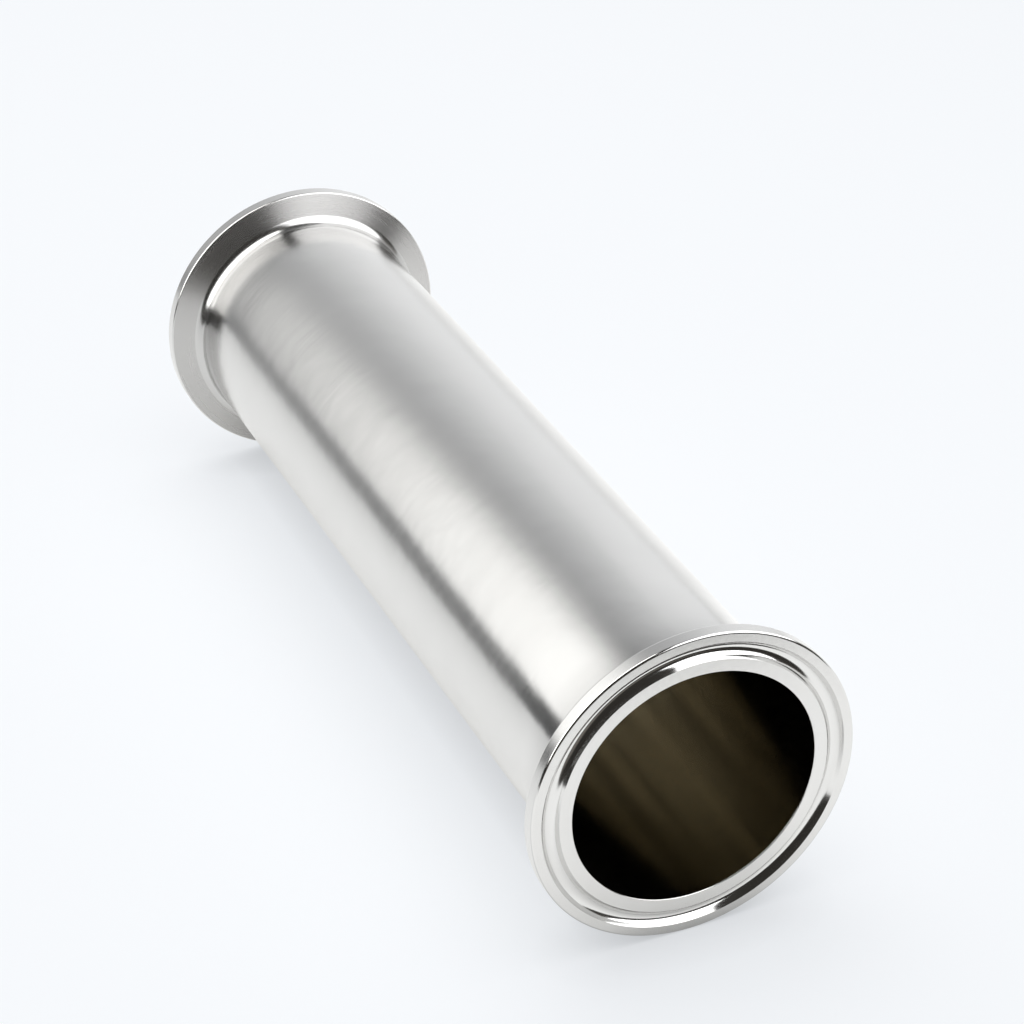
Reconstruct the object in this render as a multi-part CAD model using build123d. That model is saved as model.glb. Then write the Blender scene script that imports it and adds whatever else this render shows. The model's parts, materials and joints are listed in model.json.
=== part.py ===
from build123d import *
import os
from math import cos, radians, tan

# Sanitary spool pipe: a straight thin-walled tube with a clamp ferrule butt-welded on each end.
# It stands on one sealing face. Its axis is +Z, and the origin is the centre of the lower face.

# Driving sizes, in millimetres and degrees
overall_length = 200.0        # from one sealing face to the other
pipe_diameter = 51.0          # outside of the tube, and of each ferrule's neck
wall_thickness = 1.5          # of the tube and of the necks
flange_height = 6.5           # how far each ferrule's rim stands out from the tube
ferrule_length = 21.5         # from a sealing face to its weld
rim_width = 2.85              # length of the rim's cylindrical side
back_angle = 20.0             # slope of a flange's back, measured from the sealing face
root_radius = 2.5             # fillet between a flange's back and its neck
outer_land = 2.0              # flat ring between the rim and the gasket groove
groove_width = 3.4            # of the gasket groove, where it opens in the sealing face
groove_depth = 1.3            # at the middle of the groove
groove_angle = 57.0           # slope of the groove's sides, measured from the sealing face
rim_break = 0.4               # rounding of both corners of the rim
mouth_break = 0.25            # rounding of the bore's mouth

# Sizes that follow
pipe_radius = pipe_diameter / 2
bore_radius = pipe_radius - wall_thickness
rim_radius = pipe_radius + flange_height
root_depth = rim_width + flange_height * tan(radians(back_angle))
groove_circle_radius = rim_radius - outer_land - groove_width / 2
groove_point_depth = groove_width / 2 * tan(radians(groove_angle))
groove_root_radius = (groove_point_depth - groove_depth) / (1 / cos(radians(groove_angle)) - 1)
tube_length = overall_length - 2 * ferrule_length


def rounded(section, x, y, radius):
    """Round the one corner of a flat section that lies at x, y."""
    corner = section.vertices().sort_by_distance((x, y))[0]
    return fillet(corner, radius)


def groove_section():
    """The groove's round bottom between straight sides, cut from a little above the face."""
    above = 1.0
    half_width = groove_width / 2 + above / tan(radians(groove_angle))
    outline = Polyline(
        (groove_circle_radius - half_width, -above),
        (groove_circle_radius, groove_point_depth),
        (groove_circle_radius + half_width, -above),
        close=True,
    )
    return rounded(make_face(outline), groove_circle_radius, groove_point_depth, groove_root_radius)


def ferrule_section():
    """Half section of a ferrule: x is the radius, y the depth behind the sealing face."""
    outline = Polyline(
        (bore_radius, 0),
        (rim_radius, 0),
        (rim_radius, rim_width),
        (pipe_radius, root_depth),
        (pipe_radius, ferrule_length),
        (bore_radius, ferrule_length),
        close=True,
    )
    section = make_face(outline)
    section = rounded(section, bore_radius, 0, mouth_break)
    section = rounded(section, rim_radius, 0, rim_break)
    section = rounded(section, rim_radius, rim_width, rim_break)
    section = rounded(section, pipe_radius, root_depth, root_radius)
    return section - groove_section()


def turned_ferrule():
    """A ferrule with its sealing face at Z = 0 and its neck upwards."""
    return revolve(Plane.XZ * ferrule_section(), axis=Axis.Z)


def tube():
    """The plain tube between the two welds."""
    ring = Circle(pipe_radius) - Circle(bore_radius)
    return extrude(Pos(0, 0, ferrule_length) * ring, amount=tube_length)


lower_ferrule = turned_ferrule()
upper_ferrule = Pos(0, 0, overall_length) * Rot(180, 0, 0) * turned_ferrule()

pieces = {
    "pipe": tube(),
    "lower_ferrule": lower_ferrule,
    "upper_ferrule": upper_ferrule,
}

os.makedirs("parts", exist_ok=True)
for name, piece in pieces.items():
    export_step(piece, f"parts/{name}.step")
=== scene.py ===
import json
import math
import bpy
from mathutils import Matrix, Vector


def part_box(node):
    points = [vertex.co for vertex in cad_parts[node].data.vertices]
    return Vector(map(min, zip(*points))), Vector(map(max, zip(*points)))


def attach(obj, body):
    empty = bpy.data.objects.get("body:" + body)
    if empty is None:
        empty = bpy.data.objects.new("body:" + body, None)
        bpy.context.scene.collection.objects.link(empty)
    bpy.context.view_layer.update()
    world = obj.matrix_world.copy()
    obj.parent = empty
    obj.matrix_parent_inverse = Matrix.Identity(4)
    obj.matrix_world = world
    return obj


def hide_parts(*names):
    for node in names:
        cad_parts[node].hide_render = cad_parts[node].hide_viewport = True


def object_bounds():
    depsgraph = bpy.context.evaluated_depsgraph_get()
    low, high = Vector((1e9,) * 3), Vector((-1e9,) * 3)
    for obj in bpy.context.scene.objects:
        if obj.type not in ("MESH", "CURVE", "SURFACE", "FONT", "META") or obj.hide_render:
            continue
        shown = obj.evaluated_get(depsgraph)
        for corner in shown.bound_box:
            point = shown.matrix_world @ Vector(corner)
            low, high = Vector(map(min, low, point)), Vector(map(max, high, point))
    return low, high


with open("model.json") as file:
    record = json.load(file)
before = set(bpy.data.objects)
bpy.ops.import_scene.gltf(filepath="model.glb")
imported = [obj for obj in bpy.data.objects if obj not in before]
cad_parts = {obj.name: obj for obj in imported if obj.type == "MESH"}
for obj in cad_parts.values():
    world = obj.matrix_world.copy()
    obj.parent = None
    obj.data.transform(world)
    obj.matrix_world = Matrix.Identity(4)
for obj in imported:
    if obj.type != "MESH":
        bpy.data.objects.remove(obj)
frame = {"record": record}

# The spool stands on its lower face in this frame, with its axis along +Z. The photograph shows
# it lying down, so the scene's floor is an upright plane that both rims touch, on the +Y side,
# and -Y is up for the camera. Left and right are the camera's: +X is to its left.

# ---------------------------------------------------------------- sizes, in metres and degrees

MM = 0.001
cad_low, cad_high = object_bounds()
lower_low, lower_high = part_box("lower_ferrule")
upper_low, upper_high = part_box("upper_ferrule")
pipe_low, pipe_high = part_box("pipe")
mounts = {m["name"]: m for m in frame["record"]["mounts"]}

rim_radius = (lower_high.x - lower_low.x) / 2
pipe_radius = (pipe_high.x - pipe_low.x) / 2
bore_radius = mounts["bore"]["dims"]["r_mm"] * MM
ferrule_length = lower_high.z - lower_low.z
middle_height = (cad_low.z + cad_high.z) / 2
half_length = (cad_high.z - cad_low.z) / 2

rim_width = 2.85 * MM
back_slope = math.tan(math.radians(20.0))
root_radius = 2.5 * MM
outer_land = 2.0 * MM
groove_width = 3.4 * MM
groove_depth = 1.3 * MM
groove_angle = 57.0           # slope of the groove's sides
rim_break = 0.4 * MM
mouth_break = 0.25 * MM

support = 0.05 * MM           # how far a flat's extra ring stands from its end
segments = 360                # round the axis
UP = Vector((0, -1, 0))       # away from the floor

# ---------------------------------------------------------------- outlines and lathe work

TURNED, GROOVE, RIM, BACK, BORE, SATIN, ROOT = range(7)


def line(start, end, finish, sharp_start=False, sharp_end=False):
    """A straight stretch of an outline, with a ring close to each end to keep its shading flat."""
    start, end = Vector(start), Vector(end)
    step = (end - start).normalized() * support
    points = [start, start + step, end - step, end]
    return {"points": points, "finish": finish, "sharp": (sharp_start, sharp_end)}


def arc(centre, radius, begin, end, steps, finish):
    """A round stretch of an outline, from one angle to another in degrees."""
    points = []
    for i in range(steps + 1):
        angle = math.radians(begin + (end - begin) * i / steps)
        across, deep = radius * math.cos(angle), radius * math.sin(angle)
        points.append(Vector((centre[0] + across, centre[1] + deep)))
    return {"points": points, "finish": finish, "sharp": (False, False)}


def ferrule_outline():
    """The ferrule's closed section as stretches: x is the radius, y the depth behind the face."""
    back_angle = math.degrees(math.atan(back_slope))
    turn = 90 - back_angle      # from the rim's side to the back, and from the back to the neck

    # The groove has a round bottom between straight sides.
    groove_middle = rim_radius - outer_land - groove_width / 2
    inner_edge = groove_middle - groove_width / 2
    outer_edge = groove_middle + groove_width / 2
    side = math.radians(groove_angle)
    point_depth = groove_width / 2 * math.tan(side)
    groove_radius = (point_depth - groove_depth) / (1 / math.cos(side) - 1)
    groove_centre = (groove_middle, groove_depth - groove_radius)
    groove_reach = groove_radius * math.sin(side)
    side_foot = groove_depth - groove_radius * (1 - math.cos(side))

    # The root fillet turns from the back's slope to the neck.
    root_depth = rim_width + (rim_radius - pipe_radius) * back_slope
    root_reach = root_radius * math.tan(math.radians(turn / 2))
    root_centre = (pipe_radius + root_radius, root_depth + root_reach)
    root_start = (
        root_centre[0] - root_radius * math.sin(math.radians(back_angle)),
        root_centre[1] - root_radius * math.cos(math.radians(back_angle)),
    )

    # The rim's back corner turns from the side to the back.
    corner_reach = rim_break * math.tan(math.radians(turn / 2))
    corner_centre = (rim_radius - rim_break, rim_width - corner_reach)
    corner_end = (
        corner_centre[0] + rim_break * math.cos(math.radians(turn)),
        corner_centre[1] + rim_break * math.sin(math.radians(turn)),
    )
    return [
        arc((bore_radius + mouth_break, mouth_break), mouth_break, 180, 270, 8, TURNED),
        line((bore_radius + mouth_break, 0), (inner_edge, 0), TURNED, False, True),
        line((inner_edge, 0), (groove_middle - groove_reach, side_foot), GROOVE, True, False),
        arc(groove_centre, groove_radius, 90 + groove_angle, 90 - groove_angle, 40, GROOVE),
        line((groove_middle + groove_reach, side_foot), (outer_edge, 0), GROOVE, False, True),
        line((outer_edge, 0), (rim_radius - rim_break, 0), TURNED, True, False),
        arc((rim_radius - rim_break, rim_break), rim_break, 270, 360, 10, GROOVE),
        line((rim_radius, rim_break), (rim_radius, corner_centre[1]), RIM),
        arc(corner_centre, rim_break, 0, turn, 10, RIM),
        line(corner_end, root_start, BACK),
        arc(root_centre, root_radius, 270 - back_angle, 180, 24, ROOT),
        line((pipe_radius, root_centre[1]), (pipe_radius, ferrule_length), SATIN, False, True),
        line((pipe_radius, ferrule_length), (bore_radius, ferrule_length), SATIN, True, True),
        line((bore_radius, ferrule_length), (bore_radius, mouth_break), BORE, True, False),
    ]


def pipe_outline():
    """The tube's closed section, with y measured from its lower end."""
    length = pipe_high.z - pipe_low.z
    corners = [(bore_radius, 0), (pipe_radius, 0), (pipe_radius, length), (bore_radius, length)]
    finish_after = [SATIN, SATIN, SATIN, BORE]
    return [line(corners[i], corners[(i + 1) % 4], finish_after[i], True, True) for i in range(4)]


def lathe(name, outline, place):
    """Turns a closed outline round the Z axis. place gives the height of a point's depth."""
    ring_points, ring_sharp, band_finish = [], [], []
    for stretch in outline:
        for i, point in enumerate(stretch["points"][:-1]):
            ring_points.append(point)
            ring_sharp.append(i == 0 and stretch["sharp"][0])
            band_finish.append(stretch["finish"])
    rings = len(ring_points)
    verts, faces, face_finish = [], [], []
    for point in ring_points:
        for s in range(segments):
            angle = 2 * math.pi * s / segments
            verts.append((point.x * math.cos(angle), point.x * math.sin(angle), place(point.y)))
    flipped = place(1.0) < place(0.0)
    for r in range(rings):
        upper = (r + 1) % rings
        for s in range(segments):
            t = (s + 1) % segments
            face = [r * segments + s, r * segments + t, upper * segments + t, upper * segments + s]
            faces.append(face[::-1] if flipped else face)
            face_finish.append(band_finish[r])
    mesh = bpy.data.meshes.new(name)
    mesh.from_pydata(verts, [], faces)
    mesh.polygons.foreach_set("material_index", face_finish)
    mesh.polygons.foreach_set("use_smooth", [True] * len(faces))
    for edge in mesh.edges:
        rings_of_edge = [v // segments for v in edge.vertices]
        if rings_of_edge[0] == rings_of_edge[1] and ring_sharp[rings_of_edge[0]]:
            edge.use_edge_sharp = True
    mesh.update()
    piece = bpy.data.objects.new(name, mesh)
    bpy.context.scene.collection.objects.link(piece)
    return piece


# ---------------------------------------------------------------- node trees


class Graph:
    """A node tree with short calls for the nodes that come back often. Where a call takes a
    value, that is a constant or the output of another node."""

    def __init__(self, tree, output_kind):
        self.nodes, self.links = tree.nodes, tree.links
        self.nodes.clear()
        self.output = self.nodes.new(output_kind)

    def put(self, value, socket):
        if isinstance(value, bpy.types.NodeSocket):
            self.links.new(value, socket)
        else:
            socket.default_value = value

    def add(self, kind, inputs=None, **settings):
        node = self.nodes.new("ShaderNode" + kind)
        for name, value in settings.items():
            setattr(node, name, value)
        for name, value in (inputs or {}).items():
            self.put(value, node.inputs[name])
        return node

    def surface(self, shader):
        self.put(shader, self.output.inputs["Surface"])

    def split(self, vector):
        return self.add("SeparateXYZ", {"Vector": vector}).outputs

    def math(self, operation, *values):
        return self.add("Math", dict(enumerate(values)), operation=operation).outputs["Value"]

    def ramp(self, value, start, end, low=0.0, high=1.0, smooth=False):
        """From low to high while the value goes from start to end."""
        ends = {"From Min": start, "From Max": end, "To Min": low, "To Max": high}
        shape = "SMOOTHSTEP" if smooth else "LINEAR"
        node = self.add("MapRange", {"Value": value, **ends}, interpolation_type=shape)
        return node.outputs["Result"]

    def curve(self, value, points):
        """A smooth curve through the points, level beyond its ends."""
        node = self.add("FloatCurve", {"Value": value})
        curve = node.mapping.curves[0]
        node.mapping.use_clip = False
        node.mapping.extend = "HORIZONTAL"
        for across, height in points[1:-1]:
            curve.points.new(across, height)
        curve.points[0].location = points[0]
        curve.points[-1].location = points[-1]
        node.mapping.update()
        return node.outputs["Value"]

    def noise(self, place, scale, detail):
        inputs = {"Scale": scale, "Detail": detail, "Vector": place}
        return self.add("TexNoise", inputs).outputs["Fac"]

    def bump(self, height, distance, strength=1.0, normal=None):
        node = self.add("Bump", {"Strength": strength, "Distance": distance, "Height": height})
        if normal is not None:
            self.put(normal, node.inputs["Normal"])
        return node.outputs["Normal"]

    def mix_colours(self, share, first, second):
        node = self.add("Mix", data_type="RGBA")
        for name, colour in (("A", first), ("B", second)):
            node.inputs[name].default_value = (*colour, 1)
        self.put(share, node.inputs["Factor"])
        return node.outputs["Result"]

    def mix_shaders(self, share, first, second):
        return self.add("MixShader", {0: share, 1: first, 2: second}).outputs["Shader"]

    def glow(self, colour, strength):
        inputs = {"Color": (*colour, 1), "Strength": strength}
        return self.add("Emission", inputs).outputs["Emission"]

    def clear(self):
        return self.add("BsdfTransparent").outputs["BSDF"]


def new_material(name):
    material = bpy.data.materials.new(name)
    material.use_nodes = True
    return material, Graph(material.node_tree, "ShaderNodeOutputMaterial")


# ---------------------------------------------------------------- materials

RING_MARKS = (40, 40, 2500)       # stretches noise into fine marks that run round the axis
MARK_DEPTH = 0.02 * MM
TINT_SCALE = 90.0                 # slow changes of tone
TINT_DARK, TINT_LIGHT = 0.965, 1.02
ROUGH_LOW, ROUGH_HIGH = 0.8, 1.25     # how far the marks carry the roughness off its mean
WAVE_SCALE = 120.0
DENT_SCALE = 520.0
PATCH_SCALE = 45.0
PATCH_FROM, PATCH_FULL = 0.47, 0.62
WELD_OFFSET = 3 * MM              # the dents by a weld lie this far beyond it, on the tube
WELD_SPREAD = 6 * MM

# On the tube, how far before its end the roughness and then the colour change beside a flange: the
# colour darkens there as painted shade.
ROUGH_CHANGE = (35 * MM, 13 * MM)
SHADE_CHANGE = (19 * MM, 7 * MM)
# The share of the colour left beside a flange, under the painted shade.
END_SHADE = 0.82


def metal(
    name, colour, roughness, anisotropy=0.0, marks=0.1, mark_size=RING_MARKS, waviness=0.0,
    end_roughness=None, patches=0.0
):
    """Bare steel with fine marks that run round the axis, and slow waves in its surface.
    end_roughness is the roughness beside the flanges, where it differs: the colour is darker there
    too, as painted shade. patches is the depth of the small dents that lie in patches over the
    tube, and round it beside the welds. It needs end_roughness."""
    material, graph = new_material(name)
    place = graph.add("TexCoord").outputs["Object"]
    tangent = graph.add("Tangent", direction_type="RADIAL", axis="Z").outputs["Tangent"]

    stretched = graph.add("Mapping", {"Scale": mark_size, "Vector": place}).outputs["Vector"]
    lines = graph.noise(stretched, 1.0, 4.0)
    rough = graph.ramp(lines, 0.0, 1.0, roughness * ROUGH_LOW, roughness * ROUGH_HIGH)
    dark = [c * TINT_DARK for c in colour]
    light = [min(1, c * TINT_LIGHT) for c in colour]
    shade = graph.mix_colours(graph.noise(place, TINT_SCALE, 3.0), dark, light)
    fine = graph.bump(lines, MARK_DEPTH, marks)
    normal = graph.bump(graph.noise(place, WAVE_SCALE, 2.0), waviness, normal=fine)

    if end_roughness is not None:
        height = graph.split(place)["Z"]
        from_middle = graph.math("ABSOLUTE", graph.math("SUBTRACT", height, middle_height))
        start, end = [half_length - d for d in ROUGH_CHANGE]
        change = graph.ramp(from_middle, start, end, 1.0, end_roughness / roughness, smooth=True)
        rough = graph.math("MULTIPLY", rough, change)
        # Painted shade: the colour darkens beside the flanges.
        start, end = [half_length - d for d in SHADE_CHANGE]
        change = graph.ramp(from_middle, start, end, 1.0, END_SHADE, smooth=True)
        end_shaded = graph.add("VectorMath", {0: shade, "Scale": change}, operation="SCALE")
        shade = end_shaded.outputs["Vector"]
    if patches:
        patchy = graph.ramp(graph.noise(place, PATCH_SCALE, 2.0), PATCH_FROM, PATCH_FULL)
        weld_place = half_length - ferrule_length - WELD_OFFSET
        off_weld = graph.math("ABSOLUTE", graph.math("SUBTRACT", from_middle, weld_place))
        by_weld = graph.ramp(off_weld, WELD_SPREAD, 0.0)
        share = graph.math("MAXIMUM", patchy, by_weld)
        dents = graph.math("MULTIPLY", graph.noise(place, DENT_SCALE, 3.0), share)
        normal = graph.bump(dents, patches, normal=normal)

    inputs = {
        "Base Color": shade,
        "Metallic": 1.0,
        "Roughness": rough,
        "Anisotropic": anisotropy,
        "Anisotropic Rotation": 0.25,
        "Tangent": tangent,
        "Normal": normal,
    }
    graph.surface(graph.add("BsdfPrincipled", inputs).outputs["BSDF"])
    return material


steel = (0.74, 0.738, 0.732)
root_steel = (0.607, 0.605, 0.60)
back_steel = (0.53, 0.525, 0.52)
# The bore's colour is darker and browner than the steel outside, as painted shade inside the bore.
bore_shaded_steel = (0.478, 0.449, 0.38)
finishes = {
    TURNED: metal("turned_face", steel, 0.21, marks=0.3, mark_size=(900, 900, 900)),
    GROOVE: metal("groove_mirror", steel, 0.11, marks=0.05),
    RIM: metal("turned_rim", steel, 0.22, marks=0.1),
    BACK: metal("turned_back", back_steel, 0.26, anisotropy=0.7, marks=0.1),
    BORE: metal("bore_finish_and_shade", bore_shaded_steel, 0.125, marks=0.03, mark_size=(40, 40, 600)),
    ROOT: metal("root_fillet", root_steel, 0.18, anisotropy=0.5, marks=0.2),
    SATIN: metal(
        "satin_tube", steel, 0.19, anisotropy=0.8, marks=0.4, waviness=0.06 * MM,
        end_roughness=0.13, patches=0.016 * MM
    ),
}

# ---------------------------------------------------------------- the three pieces


def dress(piece, node):
    for index in sorted(finishes):
        piece.data.materials.append(finishes[index])
    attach(piece, "root")
    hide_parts(node)


tube = lathe("drawn_tube", pipe_outline(), lambda y: pipe_low.z + y)
dress(tube, "pipe")
lower = lathe("lower_ferrule_turned", ferrule_outline(), lambda y: lower_low.z + y)
dress(lower, "lower_ferrule")
upper = lathe("upper_ferrule_turned", ferrule_outline(), lambda y: upper_high.z - y)
dress(upper, "upper_ferrule")

# ---------------------------------------------------------------- the floor

paper_white = (0.94, 0.967, 1.0)
paper_colour = (0.86, 0.87, 0.885)
mirrored_white = (1.0, 0.998, 0.97)
PAPER_GLOW = 0.97
SEEN_GLOW_SHARE = 0.71            # of the camera's view of the paper: the rest takes shadow
MIRRORED_GLOW_SHARE = 0.5         # of its reflections

# Painted light and shade on the paper in reflections: how bright it is across it, from ACROSS[0] to
# ACROSS[1] in X, brightest a little to the right of the spool, and ahead of the near face, over
# AHEAD_REACH, with painted shadow at the face.
ACROSS = (-0.35, 0.15)
PAINTED_ACROSS_LEVELS = (
    (0.0, 0.9), (0.30, 1.13), (0.52, 1.35), (0.58, 1.42), (0.64, 1.34), (0.71, 1.26),
    (0.745, 1.17), (0.79, 1.0), (0.85, 0.96), (0.96, 0.81), (1.0, 0.77),
)
AHEAD_REACH = 25 * MM
PAINTED_AHEAD_LEVELS = ((0.0, 0.3), (0.12, 0.58), (0.22, 0.85), (0.30, 0.96), (0.40, 1.03), (1.0, 1.3))
AHEAD_BLEND = 12 * MM             # behind the near face, from the one to the other

# Where it ends in reflections: beyond its left edge, and ahead of the near face.
LEFT_END = (0.20, 0.25)
AHEAD_END = (cad_high.z + 78 * MM, cad_high.z + 100 * MM)


def floor_sheet():
    mesh = bpy.data.meshes.new("floor")
    y = cad_high.y
    corners = [(-1.2, y, -1.5), (-1.2, y, 0.36), (1.2, y, 0.36), (1.2, y, -1.5)]
    mesh.from_pydata(corners, [], [(0, 3, 2, 1)])
    mesh.update()
    floor = bpy.data.objects.new("floor", mesh)
    bpy.context.scene.collection.objects.link(floor)
    return floor


def floor_material():
    """White paper: part of it glows for the camera and for reflections, and the rest takes
    shadow. Painted shade darkens its glow close to the metal, and painted light and shade set its
    brightness in reflections."""
    material, graph = new_material("white_paper")
    path = graph.add("LightPath").outputs
    geometry = graph.add("NewGeometry").outputs
    place = graph.split(geometry["Position"])

    def painted_shade_near_metal(reach, shut, opened, darkest, brightest):
        """Painted shade: how far the glow darkens where metal lies within the given reach."""
        around = graph.add("AmbientOcclusion", {"Distance": reach}, samples=8).outputs["AO"]
        return graph.ramp(around, shut, opened, darkest, brightest)

    # Painted light and shade: the paper's brightness in reflections, across it and ahead of the
    # near face.
    across = graph.curve(graph.ramp(place["X"], *ACROSS), PAINTED_ACROSS_LEVELS)
    clearance = graph.ramp(place["Z"], cad_high.z, cad_high.z + AHEAD_REACH)
    ahead = graph.ramp(place["Z"], cad_high.z - AHEAD_BLEND, cad_high.z, smooth=True)
    level = graph.add("Mix", {"Factor": ahead, "A": across})
    graph.put(graph.curve(clearance, PAINTED_AHEAD_LEVELS), level.inputs["B"])
    # Painted shade on the paper in reflections, darker close to the metal.
    shade = painted_shade_near_metal(40 * MM, 0.10, 0.42, 0.3, 1.0)
    mirrored = graph.glow(mirrored_white, graph.math("MULTIPLY", level.outputs["Result"], shade))
    # Painted contact shadow on the paper as the camera sees it.
    painted_contact_shadow = painted_shade_near_metal(12 * MM, 0.3, 1.0, 0.78 * PAPER_GLOW, PAPER_GLOW)
    seen = graph.glow(paper_white, painted_contact_shadow)

    paper = graph.add("BsdfDiffuse", {"Color": (*paper_colour, 1)}).outputs["BSDF"]
    seen_share = graph.math("MULTIPLY", path["Is Camera Ray"], SEEN_GLOW_SHARE)
    mirrored_share = graph.math("MULTIPLY", path["Is Glossy Ray"], MIRRORED_GLOW_SHARE)
    lit = graph.mix_shaders(seen_share, paper, seen)
    lit = graph.mix_shaders(mirrored_share, lit, mirrored)

    # From behind the paper isn't there, so that the spool can be seen from every side.
    behind = graph.math("MULTIPLY", geometry["Backfacing"], path["Is Camera Ray"])
    left_end = graph.ramp(place["X"], *LEFT_END, smooth=True)
    ahead_end = graph.ramp(place["Z"], *AHEAD_END, smooth=True)
    past_end = graph.math("MAXIMUM", left_end, ahead_end)
    ended = graph.math("MULTIPLY", past_end, path["Is Glossy Ray"])
    away = graph.math("MAXIMUM", behind, ended)
    graph.surface(graph.mix_shaders(away, lit, graph.clear()))
    return material


floor_sheet().data.materials.append(floor_material())

# ---------------------------------------------------------------- the room


def way(x, up, z):
    """A direction: x to the left of the camera, up from the floor, z towards the upper end."""
    return Vector((x, -up, z)).normalized()


# The room's brightness by how nearly a direction points to its light end, beyond the spool's far
# end and to the right.
light_end = way(-0.5, 0, -0.866)
ROOM_LEVELS = (
    (0.0, 0.035), (0.15, 0.07), (0.30, 0.09), (0.365, 0.17), (0.40, 0.25), (0.43, 0.35),
    (0.455, 0.34), (0.50, 0.26), (0.54, 0.26), (0.625, 0.41), (0.72, 0.53), (0.77, 0.62),
    (0.84, 0.74), (0.92, 0.86), (1.0, 1.0),
)
far_tone, near_tone = (0.985, 0.993, 1.0), (1.0, 0.92, 0.82)
TONE_SPAN = (-0.3, 0.3)           # of a direction's Z
WALL_SPAN = (0.8, 0.98)           # of a direction's Z: the low wall that the near end faces
WALL_DROP = (0.0, 0.2)            # how far below level a direction is
WALL_LEVEL = 0.2


def room():
    """White for the camera. For the metal it is light beyond the spool's far end, to the right,
    and dark behind the camera, but for a low wall ahead of the near end."""
    world = bpy.data.worlds.new("studio")
    bpy.context.scene.world = world
    world.use_nodes = True
    graph = Graph(world.node_tree, "ShaderNodeOutputWorld")
    direction = graph.add("TexCoord").outputs["Generated"]
    place = graph.split(direction)
    toward = graph.add("VectorMath", {0: direction, 1: light_end}, operation="DOT_PRODUCT")
    level = graph.curve(toward.outputs["Value"], ROOM_LEVELS)
    wall = graph.ramp(place["Z"], *WALL_SPAN, 0.0, WALL_LEVEL, smooth=True)
    low_wall = graph.math("MULTIPLY", wall, graph.ramp(place["Y"], *WALL_DROP, smooth=True))
    tone = graph.mix_colours(graph.ramp(place["Z"], *TONE_SPAN), far_tone, near_tone)
    strength = graph.math("MAXIMUM", level, low_wall)
    mirrored = graph.add("Background", {"Color": tone, "Strength": strength})
    seen = graph.add("Background", {"Color": (*paper_white, 1)})
    is_seen = graph.add("LightPath").outputs["Is Camera Ray"]
    both = [node.outputs["Background"] for node in (mirrored, seen)]
    graph.surface(graph.mix_shaders(is_seen, *both))
    world.cycles_visibility.diffuse = False


room()

# ---------------------------------------------------------------- light panels


def card(name, corners, colour, strength, fades=(0, 0, 0, 0), lights_paper=False):
    """A light panel that only the metal sees, or only the paper. fades gives the share of a
    four-cornered panel over which it fades out from its left, right, lower and upper side."""
    mesh = bpy.data.meshes.new(name)
    mesh.from_pydata([tuple(c) for c in corners], [], [tuple(range(len(corners)))])
    mesh.update()
    panel = bpy.data.objects.new(name, mesh)
    bpy.context.scene.collection.objects.link(panel)
    panel.visible_camera = False
    panel.visible_diffuse = lights_paper
    panel.visible_glossy = not lights_paper
    panel.visible_shadow = False

    material, graph = new_material(name)
    glow = graph.glow(colour, strength)
    mesh.materials.append(material)
    if not any(fades):
        graph.surface(glow)
        return
    places = mesh.uv_layers.new(name="card")
    for corner, place in enumerate(((0, 0), (1, 0), (1, 1), (0, 1))):
        places.data[corner].uv = place
    across = graph.split(graph.add("UVMap", uv_map="card").outputs["UV"])
    left, right, low, high = fades
    shown = 1.0
    for axis, start, share in (("X", 0, left), ("X", 1, right), ("Y", 0, low), ("Y", 1, high)):
        if share:
            end = 1 - share if start else share
            shown = graph.math("MULTIPLY", shown, graph.ramp(across[axis], start, end, smooth=True))
    graph.surface(graph.mix_shaders(shown, graph.clear(), glow))


def along_axis(left, right, low, high):
    """Corners of a panel beside the axis. left and right give its edges: how far each is rolled
    off the upright, and its distance from the axis."""
    edges = []
    for roll, reach in (left, right):
        roll = math.radians(roll)
        edges.append(Vector((math.sin(roll), -math.cos(roll), 0)) * reach)
    low, high = Vector((0, 0, low)), Vector((0, 0, high))
    return [edges[0] + low, edges[1] + low, edges[1] + high, edges[0] + high]


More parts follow.
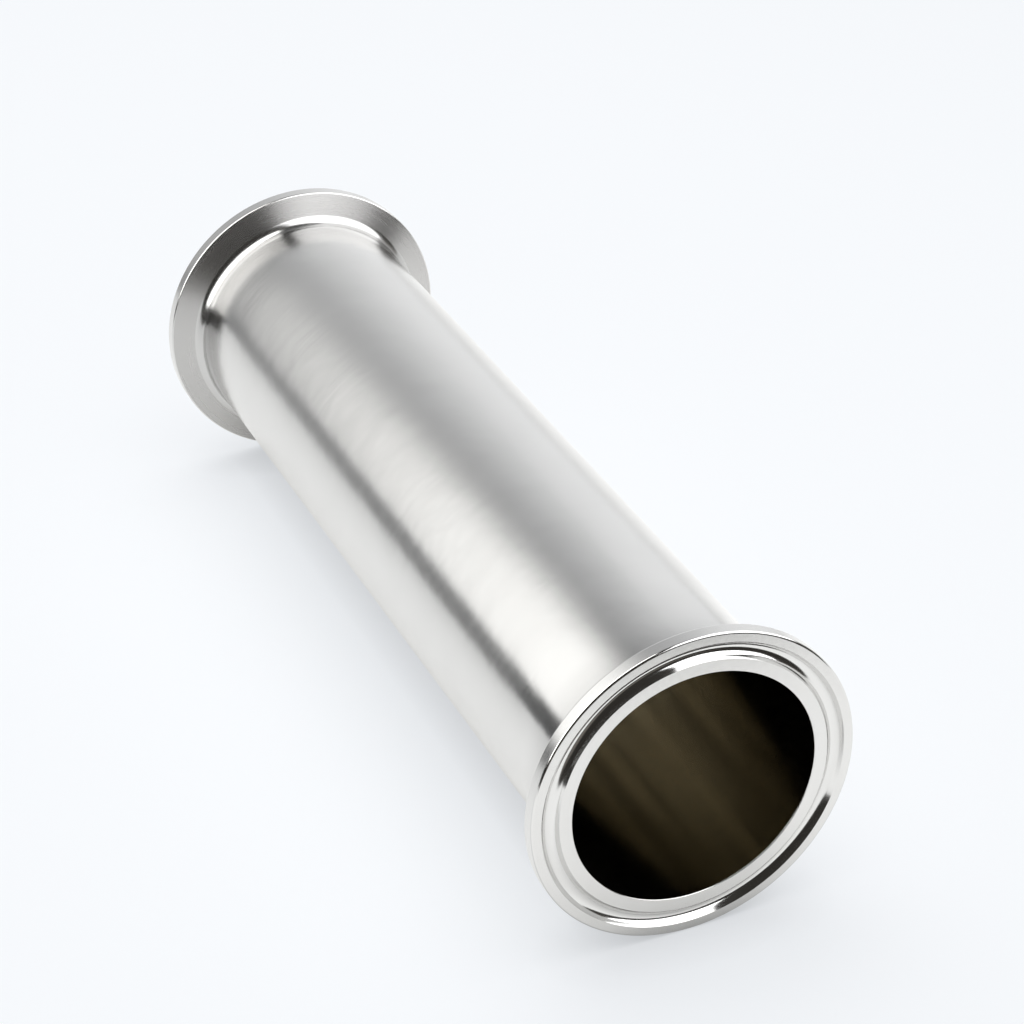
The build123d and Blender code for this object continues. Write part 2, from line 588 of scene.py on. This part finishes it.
# The long softbox, up to the left, fades beyond the spool's far end. Beside the near end a
# brighter one takes its place.
warm_white = (1, 0.995, 0.975)
white = (1, 1, 1)
softbox_seam = -0.22              # in Z
long_corners = along_axis((-2, 1.1), (87, 0.7), -1.05, softbox_seam)
card("long_softbox", long_corners, warm_white, 1.4, fades=(0.59, 0.10, 0.75, 0))
near_corners = along_axis((3, 1.08), (85, 0.7), softbox_seam, 0.33)
card("near_softbox", near_corners, warm_white, 2.85)

# The broad softbox to the right of the camera, from the floor's edge to overhead. Its wing is the
# dimmer part beyond it, towards the far end.
near_face = Vector((0, 0, cad_high.z))
broad_reach = 0.9
broad_ways = [
    way(-0.11, 0.42, 0.90),
    way(-0.40, 0.25, 0.88),
    way(-0.77, 0.17, 0.62),
    way(-0.86, 0.22, -0.38),
    way(-0.47, 0.76, -0.42),
    way(-0.11, 0.99, 0.10),
]
wing_ways = [broad_ways[4], broad_ways[3], way(-0.75, 0.19, -0.64), way(-0.41, 0.65, -0.64)]
card("broad_softbox", [near_face + w * broad_reach for w in broad_ways], white, 2.3)
card("broad_softbox_wing", [near_face + w * broad_reach for w in wing_ways], white, 1.15)

# The light on the paper comes from overhead, a little from beyond the far end.
overhead = ((-1.2, -1.4), (1.2, -1.4), (1.2, 1.3), (-1.2, 1.3))
paper_light = [Vector((x, -1.0, z)) for x, z in overhead]
paper_fades = (0.45, 0.45, 0.45, 0.45)
card("paper_light", paper_light, white, 3.5, fades=paper_fades, lights_paper=True)

# ---------------------------------------------------------------- the camera


def look_at(place, aim, up):
    """A camera's rotation and place, level with the floor that up points away from."""
    forward = (aim - place).normalized()
    right = forward.cross(up).normalized()
    top = right.cross(forward)
    rotation = Matrix((right, top, -forward)).transposed().to_4x4()
    return Matrix.Translation(place) @ rotation


camera_place = Vector((0.1897, -0.2939, 0.5434))
camera_aim = Vector((0.0, -0.0132, 0.1208))
camera_data = bpy.data.cameras.new("camera")
camera_data.sensor_width = 36.0
camera_data.lens = 96.9
camera_data.clip_start = 0.01
camera_data.clip_end = 20.0
camera = bpy.data.objects.new("camera", camera_data)
bpy.context.scene.collection.objects.link(camera)
camera.matrix_world = look_at(camera_place, camera_aim, UP)
bpy.context.scene.camera = camera
bpy.context.scene.view_settings.view_transform = "Standard"

# ---------------------------------------------------------------- the end

bpy.context.view_layer.update()
